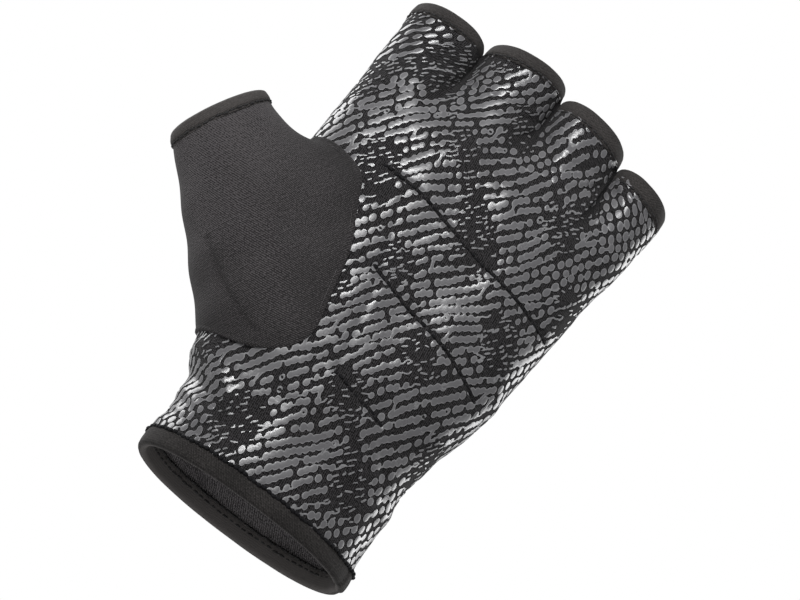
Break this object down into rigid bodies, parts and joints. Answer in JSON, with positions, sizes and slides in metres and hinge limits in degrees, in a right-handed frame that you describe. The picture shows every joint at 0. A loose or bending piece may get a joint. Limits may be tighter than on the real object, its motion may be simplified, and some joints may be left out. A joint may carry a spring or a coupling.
{
  "type": "training glove",
  "caption": "Fingerless training glove for the left hand in worn form: grip-printed knit palm, plain back, set-in plain thumb and taped openings.",
  "frame": {"origin": "middle of the wrist opening, on the plane of its rim", "axes": "+Z from the wrist to the fingers, -Y the way that the palm faces, the thumb stands out towards -X, +X towards the little finger"},
  "size_m": [0.1179, 0.0448, 0.148],
  "materials": {
    "palm_knit": "fine diagonal stretch knit, near black",
    "plain_knit": "fine matt stretch knit, dark grey",
    "binding_tape": "smooth folded knit tape, dark grey",
    "grip_print": "raised satin silicone, mid grey",
    "stitch_thread": "fine black sewing thread"
  },
  "bodies": {
    "root": {"palm_panel": "palm_knit", "back_panel": "plain_knit", "thumb_panel": "plain_knit", "cuff_binding": "binding_tape", "thumb_binding": "binding_tape", "index_binding": "binding_tape", "middle_binding": "binding_tape", "ring_binding": "binding_tape", "little_binding": "binding_tape"}
  },
  "joints": []
}
